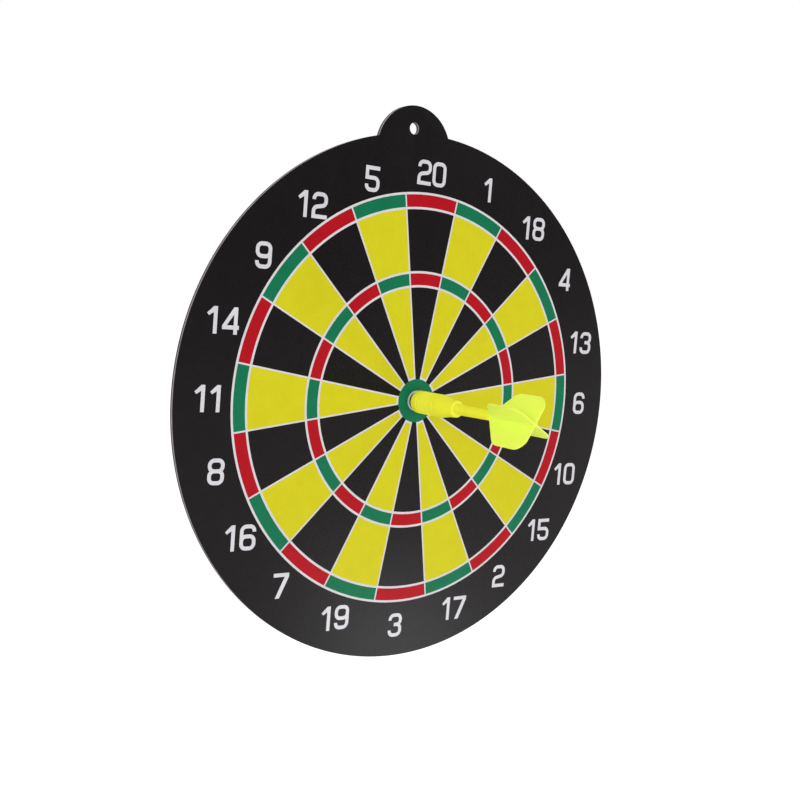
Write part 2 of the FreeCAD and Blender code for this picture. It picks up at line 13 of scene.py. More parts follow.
import bpy
import numpy as np
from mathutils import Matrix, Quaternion, Vector


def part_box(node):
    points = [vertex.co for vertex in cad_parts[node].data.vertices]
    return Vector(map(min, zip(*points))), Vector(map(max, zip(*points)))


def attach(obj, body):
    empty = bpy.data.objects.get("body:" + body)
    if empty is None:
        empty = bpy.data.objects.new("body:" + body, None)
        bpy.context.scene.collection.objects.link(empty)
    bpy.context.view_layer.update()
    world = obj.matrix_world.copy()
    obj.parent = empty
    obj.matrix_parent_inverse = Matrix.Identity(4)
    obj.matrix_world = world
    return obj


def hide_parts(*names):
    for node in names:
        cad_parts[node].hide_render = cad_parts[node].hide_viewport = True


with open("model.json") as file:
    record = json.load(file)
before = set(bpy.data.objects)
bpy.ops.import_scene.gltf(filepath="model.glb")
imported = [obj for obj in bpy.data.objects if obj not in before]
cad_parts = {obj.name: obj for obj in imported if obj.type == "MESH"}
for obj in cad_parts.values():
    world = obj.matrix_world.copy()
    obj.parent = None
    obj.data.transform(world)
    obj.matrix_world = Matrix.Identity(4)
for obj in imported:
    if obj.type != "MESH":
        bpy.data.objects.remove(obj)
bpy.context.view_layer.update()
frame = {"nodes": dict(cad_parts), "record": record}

# %% [markdown]
# ## Places that everything else uses
#
# The board's own frame is easier to think in than the row's: x to the right, y up, z out
# of the face, in millimetres, with its origin on the wall behind the disc's centre. One
# function turns such points into the row frame in metres. The alternative, objects that
# are moved and turned, would let patterns slide when the model is exported.

# %% Board frame
MM = 0.001
mounts = {mount["name"]: mount for mount in frame["record"]["mounts"]}
DISC_CENTRE = Vector(mounts["back_face"]["pos_m"])
HOLE_RADIUS = mounts["hanging_hole"]["dims"]["r_mm"]


def node_depths(node):
    """Lowest and highest distance of a CAD node from the wall, in millimetres."""
    low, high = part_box(node)
    return -high.y / MM, -low.y / MM


def node_radius(node):
    """Half the width of a CAD node's box, in millimetres."""
    low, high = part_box(node)
    return (high.x - low.x) / 2 / MM


def to_row(points):
    """Board frame (x right, y up, z out, mm) to row frame (X right, -Y out, Z up, metres)."""
    points = np.asarray(points, float)
    row = np.stack([points[:, 0], -points[:, 2], points[:, 1]], axis=1) * MM
    return row + np.array(DISC_CENTRE)


film_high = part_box("face_film")[1]
FACE = node_depths("face_film")[1]
PRINT_TOP = node_depths("red_inner_bull")[1]
DISC_RADIUS = node_radius("face_film")
HOLE_CENTRE = -DISC_CENTRE.z / MM
EAR_TOP = (film_high.z - DISC_CENTRE.z) / MM


def ear_circle():
    """Radius of the ear's arc, from the corners of the film that lie on it.

    A point of a circle that is x to the side of its top and d below it gives the radius
    (x^2 + d^2) / 2d. The result is the median over all such corners.
    """
    margin = 1.0                     # keeps the disc's and the hole's corners out, in mm
    too_shallow = 5.0                # nearer to the top the formula loses its accuracy, in mm
    corners = np.array([vertex.co for vertex in frame["nodes"]["face_film"].data.vertices])
    across = corners[:, 0] / MM
    up = (corners[:, 2] - DISC_CENTRE.z) / MM
    beyond_disc = np.hypot(across, up) > DISC_RADIUS + margin
    off_the_hole = np.hypot(across, up - HOLE_CENTRE) > HOLE_RADIUS + margin
    on_ear = beyond_disc & off_the_hole & (EAR_TOP - up > too_shallow)
    drop = EAR_TOP - up[on_ear]
    return float(np.median((across[on_ear] ** 2 + drop ** 2) / (2 * drop)))


EAR_RADIUS = ear_circle()
EAR_CENTRE = EAR_TOP - EAR_RADIUS
print("disc radius %.2f mm, ear radius %.2f mm, face %.2f mm off the wall"
      % (DISC_RADIUS, EAR_RADIUS, FACE))

# %% [markdown]
# ## Camera
#
# A board on a wall is looked at from a little to the left and a little above its middle,
# from about arm's length, so the rings turn into ovals and the dart points to the right.
# The camera is placed by its offset from the disc's centre and the way it looks; a
# tracking constraint would need a target object that the view does not really have.

# %% Camera
CAMERA_OFFSET = Vector((-0.3736, -0.5128, 0.0941))     # from the disc's centre, in metres
CAMERA_LOOK = Vector((0.5730, 0.8060, -0.1465))
CAMERA_ROLL = math.radians(-0.33)
CAMERA_LENS = 50.04                                    # in mm, on a sensor of this width
SENSOR_WIDTH = 36

camera_data = bpy.data.cameras.new("camera")
camera_data.sensor_width = SENSOR_WIDTH
camera_data.lens = CAMERA_LENS
camera = bpy.data.objects.new("camera", camera_data)
bpy.context.scene.collection.objects.link(camera)
camera.location = DISC_CENTRE + CAMERA_OFFSET
camera.rotation_mode = "QUATERNION"
roll = Quaternion((0, 0, 1), CAMERA_ROLL)
camera.rotation_quaternion = CAMERA_LOOK.to_track_quat("-Z", "Y") @ roll
bpy.context.scene.camera = camera
print("camera at", [round(value, 3) for value in camera.location])

# %% [markdown]
# ## Meshes from arrays
#
# Every new surface here is a grid of points worked out with numpy: rows along the piece,
# columns round it. The helper below turns points and faces into a mesh, puts the place
# into the mesh itself, turns the faces outwards where the signed volume is negative,
# parents the piece to an empty for the body it rides on and hides the CAD nodes it stands for.

# %% Mesh helpers


def grid_faces(rows, columns, first=0):
    """Quads of a grid that is closed round its columns; first is the grid's first vertex."""
    row = np.arange(rows - 1)[:, None] * columns
    column = np.arange(columns)[None, :]
    following = (column + 1) % columns
    corners = [row + column, row + following, row + columns + following, row + columns + column]
    return (np.stack(corners, axis=-1).reshape(-1, 4) + first).tolist()


def fan_faces(pole, start, columns):
    """Triangles from a pole vertex to a closed row of vertices that begins at start."""
    column = np.arange(columns)
    following = (column + 1) % columns
    corners = [np.full(columns, pole), start + following, start + column]
    return np.stack(corners, axis=1).tolist()


def signed_volume(points, faces):
    """Volume inside closed faces: the sum of a . (b x c) / 6 over their fan triangles a, b, c."""
    total = 0.0
    by_size = {}
    for face in faces:
        by_size.setdefault(len(face), []).append(face)
    for size, group in by_size.items():
        corners = points[np.array(group)]
        for step in range(1, size - 1):
            crossed = np.cross(corners[:, step], corners[:, step + 1])
            total += np.einsum("ij,ij->", corners[:, 0], crossed)
    return total / 6


def add_piece(name, points, faces, body, slot, nodes, smooth_angle=35):
    """A piece from board-frame points in mm, riding on a body and standing for CAD nodes."""
    points = to_row(points)
    if signed_volume(points, faces) < 0:
        faces = [face[::-1] for face in faces]
    mesh = bpy.data.meshes.new(name)
    mesh.from_pydata(points.tolist(), [], faces)
    mesh.validate()
    mesh.shade_smooth()
    mesh.set_sharp_from_angle(angle=math.radians(smooth_angle))
    piece = bpy.data.objects.new(name, mesh)
    bpy.context.scene.collection.objects.link(piece)
    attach(piece, body)
    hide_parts(*nodes)
    print("%-16s %6d points %6d faces" % (name, len(points), len(faces)))
    return piece


print("a closed grid of 3 rows and 4 columns has %d faces" % len(grid_faces(3, 4)))

# %% [markdown]
# ## Board outline
#
# All four layers share one outline: a disc whose arc meets the smaller arc of the ear, and
# a round hole in the ear. A curve object could draw it, but the layers below need it again
# and again at slightly different insets, which two arcs of sines and cosines give at once.

# %% Board outline
RIM_STEPS = 520                      # points along the right half of the disc's arc
HOLE_STEPS = 96                      # points round the hanging hole


def outline_angles(count):
    """Angles from straight up along the ear's arc, and along the disc's arc to its foot.

    The two circles cross at height (R^2 - r^2 + c^2) / 2c, where R is the disc's radius, r
    the ear's and c the height of the ear's centre.
    """
    crossing = (DISC_RADIUS ** 2 - EAR_RADIUS ** 2 + EAR_CENTRE ** 2) / (2 * EAR_CENTRE)
    disc_turn = math.acos(crossing / DISC_RADIUS)
    ear_turn = math.acos((crossing - EAR_CENTRE) / EAR_RADIUS)
    ear_count = max(8, int(count * ear_turn * EAR_RADIUS / (math.pi * DISC_RADIUS)))
    return np.linspace(0, ear_turn, ear_count), np.linspace(disc_turn, math.pi, count)


def right_half_outline(inset, count):
    """The outline's right half from the ear's top to the disc's foot: (r sin a, r cos a)."""
    ear, disc = outline_angles(count)
    ear_points = np.stack([np.sin(ear), np.cos(ear)], axis=1) * (EAR_RADIUS - inset)
    ear_points[:, 1] += EAR_CENTRE
    disc_points = np.stack([np.sin(disc), np.cos(disc)], axis=1) * (DISC_RADIUS - inset)
    return np.concatenate([ear_points[:-1], disc_points])


def full_outline(inset, count):
    """The whole outline, clockwise from the top of the ear, as one closed row of points."""
    right = right_half_outline(inset, count)
    left = right[1:-1][::-1] * np.array([-1, 1])
    return np.concatenate([right, left])


def hole_outline(grow, count):
    """The hanging hole, clockwise from its top, with its radius grown by this many mm."""
    angle = np.arange(count) / count * 2 * math.pi
    circle = np.stack([np.sin(angle), np.cos(angle)], axis=1) * (HOLE_RADIUS + grow)
    return circle + np.array([0, HOLE_CENTRE])


print("outline of %d points, hole of %d" % (len(full_outline(0, RIM_STEPS)), HOLE_STEPS))

# %% [markdown]
# ## Board layers
#
# The real layers are glued up flat and die-cut together. A cutter pulls the film down a
# little at the front edge, and it leaves the paper boards slightly furry, so a plain
# extruded outline looks too clean. Each layer is its outline, carried through its
# thickness with a small inset that changes with depth, plus a fine seeded roughness on
# the boards. A bevel modifier could round the film, but not roughen only the boards.

# %% Die-cut layers
NEIGHBOUR_SHARE = 0.5                # how much of its neighbours a fibre's length takes on


def fibre_noise(rows, columns, size, generator):
    """Lengths of torn fibres, in mm: random, smoothed along the rim, none on the flat faces.

    Normal noise gains a share of its neighbour on one side, then on the other. Its absolute
    value is scaled by size, and the first and last rows are set to zero.
    """
    rough = generator.normal(size=(rows, columns))
    for shift in (-1, 1):
        rough += NEIGHBOUR_SHARE * np.roll(rough, shift, axis=1)
    fibres = np.abs(rough * size)
    fibres[[0, -1]] = 0
    return fibres


def holed_faces(rim, hole):
    """Two faces that fill a sheet between its rim and its hole, parted down the middle."""
    half_rim, half_hole = len(rim) // 2, len(hole) // 2
    right = np.concatenate([rim[:half_rim + 1], hole[:half_hole + 1][::-1]])
    left = np.concatenate([rim[half_rim:], rim[:1], hole[:1], hole[half_hole:][::-1]])
    return right.tolist(), left.tolist()


def die_cut_layer(name, node, slot, insets, roughness, seed):
    """One sheet, from its front face to its back.

    insets holds pairs: the outline's inset in mm, and the share of the thickness at which it
    has that inset. Each pair gives one row of rim points and one of hole points, moved
    inwards and outwards by the length of the fibres there.
    """
    back, front = node_depths(node)
    generator = np.random.default_rng(seed)
    rim_count = len(full_outline(0, RIM_STEPS))
    rim_fibres = fibre_noise(len(insets), rim_count, roughness, generator)
    hole_fibres = fibre_noise(len(insets), HOLE_STEPS, roughness, generator)
    rim_rows = []
    hole_rows = []
    for index, (inset, share) in enumerate(insets):
        depth = front + (back - front) * share
        rim = full_outline(inset, RIM_STEPS)
        outwards = rim / np.linalg.norm(rim, axis=1, keepdims=True)
        rim = rim - outwards * rim_fibres[index][:, None]
        hole = hole_outline(inset, HOLE_STEPS)
        outwards = (hole - np.array([0, HOLE_CENTRE])) / HOLE_RADIUS
        hole = hole + outwards * hole_fibres[index][:, None]
        rim_rows.append(np.column_stack([rim, np.full(len(rim), depth)]))
        hole_rows.append(np.column_stack([hole, np.full(len(hole), depth)]))
    points = np.concatenate(rim_rows + hole_rows)
    hole_start = rim_count * len(insets)
    faces = grid_faces(len(insets), rim_count)
    faces += [face[::-1] for face in grid_faces(len(insets), HOLE_STEPS, hole_start)]
    last = len(insets) - 1
    for row in (0, last):
        rim = np.arange(rim_count) + row * rim_count
        hole = np.arange(HOLE_STEPS) + hole_start + row * HOLE_STEPS
        faces += [face if row == last else face[::-1] for face in holed_faces(rim, hole)]
    return add_piece(name, points, faces, "board", slot, [node])


ROLLED = [(0.26, 0.0), (0.13, 0.08), (0.05, 0.25), (0.01, 0.55), (0.0, 1.0)]
CLEAN_CUT = [(0.06, 0.0), (0.02, 0.3), (0.02, 0.7), (0.06, 1.0)]
FURRY_CUT = [(0.05, 0.0), (0.0, 0.1), (0.02, 0.3), (0.03, 0.5), (0.02, 0.7), (0.0, 0.9),
             (0.05, 1.0)]
CORE_FIBRES, BACKING_FIBRES = 0.03, 0.025

film = die_cut_layer("printed_film", "face_film", "film", ROLLED, 0, 1)
steel = die_cut_layer("steel_blank", "steel_sheet", "steel", CLEAN_CUT, 0, 2)
core = die_cut_layer("grey_core", "core_board", "core", FURRY_CUT, CORE_FIBRES, 3)
backing = die_cut_layer("dark_backing", "backing_board", "backing", FURRY_CUT, BACKING_FIBRES, 4)

# %% [markdown]
# ## Turned shapes
#
# Magnet, barrel and stem are round mouldings, so each is a profile turned about the
# dart's axis. A profile is a short list of corners, each with the radius that rounds it,
# because every moulded edge has one and it is what catches the light. Blender's Spin or a
# Screw modifier could turn it too, but an array of angles also lets a parting line rise
# at two sides of the moulding.

# %% Rounded profiles and turning
tip_low, tip_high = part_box("tip_magnet")
landed = ((tip_low + tip_high) / 2 - DISC_CENTRE) / MM
DART_FOOT = np.array([landed.x, landed.z, PRINT_TOP])  # where the dart's axis meets the print
print("dart stands %.2f mm right and %.2f mm up of the disc's centre" % (landed.x, landed.z))


def rounded_profile(corners, steps=6):
    """Points along corners (radius, height, round), with an arc in place of each corner.

    An arc of radius r at a corner whose half angle is h starts and ends r / tan(h) from the
    corner, and its centre lies r / sin(h) away along the middle of the two runs.
    """
    corners = np.asarray(corners, float)
    points = [corners[0, :2]]
    for index in range(1, len(corners) - 1):
        corner, radius = corners[index, :2], corners[index, 2]
        if radius == 0:
            points.append(corner)
            continue
        back = corners[index - 1, :2] - corner
        ahead = corners[index + 1, :2] - corner
        back /= np.linalg.norm(back)
        ahead /= np.linalg.norm(ahead)
        half = math.acos(np.clip(back @ ahead, -1, 1)) / 2
        middle = (back + ahead) / np.linalg.norm(back + ahead)
        centre = corner + middle * radius / math.sin(half)
        start = corner + back * radius / math.tan(half) - centre
        end = corner + ahead * radius / math.tan(half) - centre
        share = np.linspace(0, 1, steps + 1)[:, None]
        arc = start * (1 - share) + end * share
        arc *= radius / np.linalg.norm(arc, axis=1, keepdims=True)
        points.extend(centre + arc)
    points.append(corners[-1, :2])
    return np.array(points)


def turned(profile, angles, relief=None):
    """Points and faces of a profile turned about the dart's axis.

    A profile point (r, h) becomes (r cos a, r sin a, h) at every angle a. The first and last
    points lie on the axis and become poles. relief gives the height of any raised line, in
    mm, from arrays of radius, height and angle.
    """
    rings = profile[1:-1]
    radius = np.repeat(rings[:, :1], len(angles), axis=1)
    height = np.repeat(rings[:, 1:], len(angles), axis=1)
    angle = np.repeat(angles[None, :], len(rings), axis=0)
    if relief is not None:
        radius = radius + relief(radius, height, angle)
    x = radius * np.cos(angle)
    y = radius * np.sin(angle)
    points = np.stack([x, y, height], axis=-1).reshape(-1, 3)
    poles = [[0, 0, profile[0, 1]], [0, 0, profile[-1, 1]]]
    points = np.concatenate([points, poles]) + DART_FOOT
    faces = grid_faces(len(rings), len(angles))
    first_pole = len(rings) * len(angles)
    last_ring = (len(rings) - 1) * len(angles)
    faces += fan_faces(first_pole, 0, len(angles))
    faces += [face[::-1] for face in fan_faces(first_pole + 1, last_ring, len(angles))]
    return points, faces


def parted_angles(count, line_width, radius):
    """Even angles round a moulding, and six more across each of its two parting lines."""
    even = np.arange(count) * 2 * math.pi / count
    step = line_width / radius / 2
    extra = np.array([-3, -2, -1, 1, 2, 3]) * step
    return np.unique(np.round(np.concatenate([even, extra, extra + math.pi]) % (2 * math.pi), 6))


# %% [markdown]
# ## Tip magnet
#
# The real tip is a short black ferrite disc, pressed into the barrel so that it stands a
# little proud and meets the face squarely. Only its side shows, as a dark crescent under
# the barrel. A plain cylinder would have knife edges; sintered ones are slightly broken,
# which is a profile with two small arcs.

# %% Magnet
MAGNET_LOW, MAGNET_HIGH = [depth - PRINT_TOP for depth in node_depths("tip_magnet")]
MAGNET_RADIUS = node_radius("tip_magnet")
MAGNET_ROUND = 0.3
MAGNET_COLUMNS = 96
magnet_profile = rounded_profile([
    (0, MAGNET_LOW, 0), (MAGNET_RADIUS, MAGNET_LOW, MAGNET_ROUND),
    (MAGNET_RADIUS, MAGNET_HIGH, MAGNET_ROUND), (0, MAGNET_HIGH, 0)])
magnet_angles = np.linspace(0, 2 * math.pi, MAGNET_COLUMNS, endpoint=False)
magnet = add_piece("ferrite_magnet", *turned(magnet_profile, magnet_angles),
                   "magnet", "magnet", ["tip_magnet"])

# %% [markdown]
# ## Barrel
#
# The barrel is one hollow moulding in soft yellow plastic. From the tip it has a round
# rim, five grip grooves, two finer grooves round a collar, a taper in two parts and a
# rounded tail. Cutting grooves with booleans would leave sharp edges, so they are corners of
# the profile, made by a loop, and each is rounded as a polished mould leaves it. Two faint
# raised lines run along opposite sides where the mould halves met.

# %% Barrel
BARREL_LOW, BARREL_HIGH = [depth - PRINT_TOP for depth in node_depths("barrel")]
BARREL_RADIUS = node_radius("barrel")
RIM_ROUND = 0.8
FIT = 0.05                           # radial clearance round the magnet and the stem's plug
POCKET_RADIUS = MAGNET_RADIUS + FIT
POCKET_DEPTH = MAGNET_HIGH + 0.1
SOCKET_RADIUS = 1.85
SOCKET_BOTTOM = 28.6
INNER_LIP = 0.15                     # rounding of the mouths of pocket, socket and bore
INNER_FOOT = 0.2                     # rounding at their bottoms
STRAIGHT_END = 24.5                  # height at which the taper starts
WAIST_RADIUS, WAIST_HEIGHT = 5.05, 32.2
TAPER_ROUND = 4.0
TAIL_RADIUS, TAIL_ROUND = 4.6, 1.1
# Each groove is its start, width, depth and the rounding of its edges.
GRIP_GROOVES = [(7.4 + 2.2 * index, 1.1, 0.45, 0.3) for index in range(5)]
COLLAR_GROOVES = [(start, 0.8, 0.4, 0.25) for start in (18.6, 21.8)]
PARTING_WIDTH = 0.22
PARTING_HEIGHT = 0.035
BORE_WALLS = 2.4                     # sockets and bores lie inside this radius
POCKET_WALLS = MAGNET_RADIUS + 0.3   # and the magnet's pocket inside this one, up to a height
POCKET_CEILING = POCKET_DEPTH + 0.1
DART_COLUMNS = 120


def ring_groove(start, width, depth, soften):
    """Corners of one groove in the barrel: a trapezium whose floor is 0.4 of its width."""
    floor = BARREL_RADIUS - depth
    return [(BARREL_RADIUS, start, soften), (floor, start + 0.3 * width, soften / 2),
            (floor, start + 0.7 * width, soften / 2), (BARREL_RADIUS, start + width, soften)]


barrel_corners = [(0, POCKET_DEPTH, 0), (POCKET_RADIUS, POCKET_DEPTH, INNER_FOOT),
                  (POCKET_RADIUS, BARREL_LOW, INNER_LIP), (BARREL_RADIUS, BARREL_LOW, RIM_ROUND)]
for groove in GRIP_GROOVES + COLLAR_GROOVES:
    barrel_corners += ring_groove(*groove)
barrel_corners += [(BARREL_RADIUS, STRAIGHT_END, TAPER_ROUND),
                   (WAIST_RADIUS, WAIST_HEIGHT, TAPER_ROUND),
                   (TAIL_RADIUS, BARREL_HIGH, TAIL_ROUND),
                   (SOCKET_RADIUS, BARREL_HIGH, INNER_LIP),
                   (SOCKET_RADIUS, SOCKET_BOTTOM, INNER_FOOT), (0, SOCKET_BOTTOM, 0)]


def parting_line(radius, height, angle):
    """Height of two soft ridges, at angle 0 and half a turn, on outer surfaces only.

    At a distance x across the line it is the line's height times exp(-(x / half width)^2).
    """
    across = np.abs(np.sin(angle)) * radius
    ridge = PARTING_HEIGHT * np.exp(-(across / (PARTING_WIDTH / 2)) ** 2)
    outside = radius > BORE_WALLS
    in_pocket = (radius < POCKET_WALLS) & (height < POCKET_CEILING)
    return ridge * outside * ~in_pocket


dart_angles = parted_angles(DART_COLUMNS, PARTING_WIDTH, BARREL_RADIUS)
barrel = add_piece("moulded_barrel",
                   *turned(rounded_profile(barrel_corners), dart_angles, parting_line),
                   "dart_barrel", "dart_plastic", ["barrel"])

# %% [markdown]
# ## Stem
#
# A slimmer moulding plugs into the barrel's tail. Outside it starts with a small collar
# against the barrel, narrows at once and then tapers evenly to the flight, which is pushed
# into a bore in its end. It is turned in the same way, with the same parting lines.

# %% Stem
STEM_LOW, STEM_HIGH = [depth - PRINT_TOP for depth in node_depths("stem")]
PLUG_RADIUS = SOCKET_RADIUS - FIT
SHOULDER = BARREL_HIGH + 0.03        # the hairline seam where the stem's collar meets the barrel
PLUG_ROUND = 0.4
SHOULDER_ROUND = 0.1
COLLAR_RADIUS, COLLAR_ROUND = 3.3, 0.4
NECK_RADIUS, NECK_HEIGHT, NECK_ROUND = 3.05, BARREL_HIGH + 1.4, 1.2
STEM_END_RADIUS, STEM_END_ROUND = 2.6, 0.3
BORE_RADIUS = 1.25
BORE_BOTTOM = 59.0
stem_profile = rounded_profile([
    (0, STEM_LOW, 0), (PLUG_RADIUS, STEM_LOW, PLUG_ROUND),
    (PLUG_RADIUS, SHOULDER, SHOULDER_ROUND), (COLLAR_RADIUS, SHOULDER, COLLAR_ROUND),
    (NECK_RADIUS, NECK_HEIGHT, NECK_ROUND),
    (STEM_END_RADIUS, STEM_HIGH, STEM_END_ROUND), (BORE_RADIUS, STEM_HIGH, INNER_LIP),
    (BORE_RADIUS, BORE_BOTTOM, INNER_FOOT), (0, BORE_BOTTOM, 0)])
stem = add_piece("moulded_stem", *turned(stem_profile, dart_angles, parting_line),
                 "dart_tail", "dart_plastic", ["stem"])

# %% [markdown]
# ## Flight
#
# The flight is one moulding: four thin wings on a pin, swept back in front, with large
# round corners. Every cross-section is the same cross whose arms only change in length, so
# the shape is a cross-shaped loop carried along the axis. That makes one closed skin with
# soft roots between the wings, where four joined plates would show seams.

# %% Flight
FLIGHT_LOW, FLIGHT_HIGH = [depth - PRINT_TOP for depth in node_depths("flight")]
FLIGHT_TURN = math.radians(53.6)
PIN_RADIUS = 1.2
PIN_CHAMFER = 0.3
SPAN = 15.7                          # how far a wing reaches from the axis
ROOT_SPAN = 2.4
SWEEP = 11.3                         # length over which the front edge is swept back
CORNER_ROUND = 7.6
WING_ROOT_HALF = 0.42                # half a wing's thickness at its root and at its tip
WING_TIP_HALF = 0.3
THINNEST = 0.35                      # share of the thickness left at the rear edge
EDGE_STEPS = 5
WING_STEPS = 16
ROOT_CROWDING = 1.4                  # above 1, more of a wing's points lie near its root
LENGTH_STEPS = 90


def corner_reach(height, centre):
    """Reach of a rounded wing corner: the span less r, plus sqrt(r^2 - (height - centre)^2)."""
    square = np.clip(CORNER_ROUND ** 2 - (height - centre) ** 2, 0, None)
    return SPAN - CORNER_ROUND + np.sqrt(square)


def wing_span(height):
    """How far the wings reach from the axis: swept line, arc, straight, arc."""
    sweep_angle = math.atan2(SPAN - ROOT_SPAN, SWEEP)
    swept = ROOT_SPAN + (height - STEM_HIGH) * (SPAN - ROOT_SPAN) / SWEEP
    lead_centre = STEM_HIGH + SWEEP + CORNER_ROUND * math.tan(sweep_angle / 2)
    lead_start = lead_centre - CORNER_ROUND * math.sin(sweep_angle)
    tail_centre = FLIGHT_HIGH - CORNER_ROUND
    return np.select([height < lead_start, height < lead_centre, height < tail_centre],
                     [swept, corner_reach(height, lead_centre), np.full_like(height, SPAN)],
                     corner_reach(height, tail_centre))


def cross_loop(span, thin):
    """Loops of a cross whose arms reach span, are thinned by thin and melt into the pin.

    An arm's half thickness at x is the fourth-power mean of its own taper and the pin's
    circle, (t^4 + c^4)^(1/4), and its last stretch is a quarter ellipse.
    """
    start = PIN_RADIUS / math.sqrt(2)
    share = np.linspace(0, 1, WING_STEPS) ** ROOT_CROWDING
    turn = np.linspace(0, math.pi / 2, EDGE_STEPS + 1)[1:]
    straight = start + (span[:, None] - WING_TIP_HALF - start) * share[None, :]
    tip = span[:, None] - WING_TIP_HALF + WING_TIP_HALF * np.sin(turn)[None, :]
    along = np.concatenate([straight, tip], axis=1)
    taper = WING_ROOT_HALF + (WING_TIP_HALF - WING_ROOT_HALF) * np.clip(along / SPAN, 0, 1)
    fade = np.concatenate([np.ones(WING_STEPS), np.cos(turn)])
    circle = np.sqrt(np.clip(PIN_RADIUS ** 2 - along ** 2, 0, None))
    across = ((taper * fade[None, :] * thin[:, None]) ** 4 + circle ** 4) ** 0.25
    across[:, 0] = along[:, 0]
    upper = np.stack([along, across], axis=-1)
    lower = np.stack([along, -across], axis=-1)[:, 1:-1][:, ::-1]
    arm = np.concatenate([upper, lower], axis=1)
    arms = []
    for angle in (0, -math.pi / 2, -math.pi, -3 * math.pi / 2):
        cosine, sine = math.cos(angle), math.sin(angle)
        arms.append(arm @ np.array([[cosine, -sine], [sine, cosine]]).T)
    return np.concatenate(arms, axis=1)


edge = np.linspace(0, math.pi / 2, EDGE_STEPS + 1)[1:]
rear = FLIGHT_HIGH - WING_TIP_HALF
heights = np.concatenate([np.linspace(STEM_HIGH, rear, LENGTH_STEPS),
                          rear + WING_TIP_HALF * np.sin(edge)])
thins = np.concatenate([np.ones(LENGTH_STEPS), np.clip(np.cos(edge), THINNEST, 1)])
loops = cross_loop(wing_span(heights), thins)
columns = loops.shape[1]
around = np.arctan2(loops[0, :, 1], loops[0, :, 0])
pin = np.stack([np.cos(around), np.sin(around)], axis=-1)
pin_radii = (PIN_RADIUS - PIN_CHAMFER, PIN_RADIUS, PIN_RADIUS)
pin_loops = np.stack([pin * radius for radius in pin_radii])
section = np.concatenate([pin_loops, loops])
section_heights = np.concatenate([[FLIGHT_LOW, FLIGHT_LOW + PIN_CHAMFER, STEM_HIGH], heights])
cosine, sine = math.cos(FLIGHT_TURN), math.sin(FLIGHT_TURN)
flight_x = section[..., 0] * cosine - section[..., 1] * sine
flight_y = section[..., 0] * sine + section[..., 1] * cosine
flight_z = np.repeat(section_heights[:, None], columns, axis=1)
flight_points = np.stack([flight_x, flight_y, flight_z], axis=-1).reshape(-1, 3)
poles = [[0, 0, FLIGHT_LOW], [0, 0, FLIGHT_HIGH]]
flight_points = np.concatenate([flight_points, poles]) + DART_FOOT
flight_faces = grid_faces(len(section), columns)
flight_faces += fan_faces(len(section) * columns, 0, columns)
last_loop = (len(section) - 1) * columns
rear_cap = fan_faces(len(section) * columns + 1, last_loop, columns)
flight_faces += [face[::-1] for face in rear_cap]
flight = add_piece("moulded_flight", flight_points, flight_faces,
                   "dart_tail", "flight_plastic", ["flight"])

# %% [markdown]
# ## Colours and nodes
#
# Finishes are written as their sRGB colours, which is how ink charts and plastic samples
# are given, and turned into the linear numbers that shaders use by one function. One more
# function adds a node with its settings and links, so a finish reads as a short list.

# %% Colour and node helpers
MIX_FACTOR, MIX_A, MIX_B, MIX_RESULT = 0, 6, 7, 2      # sockets of a Mix node that mixes colours


def colour(hex_code):
    """An sRGB hex value as a linear colour with full alpha."""
    channels = [int(hex_code[place:place + 2], 16) / 255 for place in (1, 3, 5)]
    linear = [c / 12.92 if c <= 0.04045 else ((c + 0.055) / 1.055) ** 2.4 for c in channels]
    return (*linear, 1.0)


def per(size_mm):
    """The texture scale at which one feature is this many millimetres wide."""
    return 1 / (size_mm * MM)


def add_node(tree, kind, inputs=None, **settings):
    """Adds a node: settings are its properties, inputs its sockets, each a value or a link."""
    node = tree.nodes.new(kind)
    for name, value in settings.items():
        setattr(node, name, value)
    for socket, value in (inputs or {}).items():
        if isinstance(value, bpy.types.NodeSocket):
            tree.links.new(value, node.inputs[socket])
        else:
            node.inputs[socket].default_value = value
    return node


def new_material(name):
    """An empty material and its node tree."""
    material = bpy.data.materials.new(name)
    material.use_nodes = True
    material.node_tree.nodes.clear()
    return material, material.node_tree


def with_surface(material, shader):
    """The material with this shader joined to its surface."""
    add_node(material.node_tree, "ShaderNodeOutputMaterial", {"Surface": shader.outputs["BSDF"]})
    print("%-24s %d nodes" % (material.name, len(material.node_tree.nodes)))
    return material


print("features 5 mm wide need a texture scale of %.0f" % per(5))


# %% [markdown]
# ## Black printed film
#
# The face is a thin vinyl film flooded with black ink and pressed onto the steel. It has
# a satin sheen and a faint grain, so its black is never quite even. One colour with one
# roughness would look like wet paint, so two noises share the work: a soft mottle a few
# millimetres wide in the colour, and fine orange peel in the bump, which breaks up the
# sheen. The real peel is finer and is drawn 0.8 mm wide, so that it shows.

# %% Film finish
SATIN_LEVEL = 0.12                   # specular level: fine grain hides most of the mirror


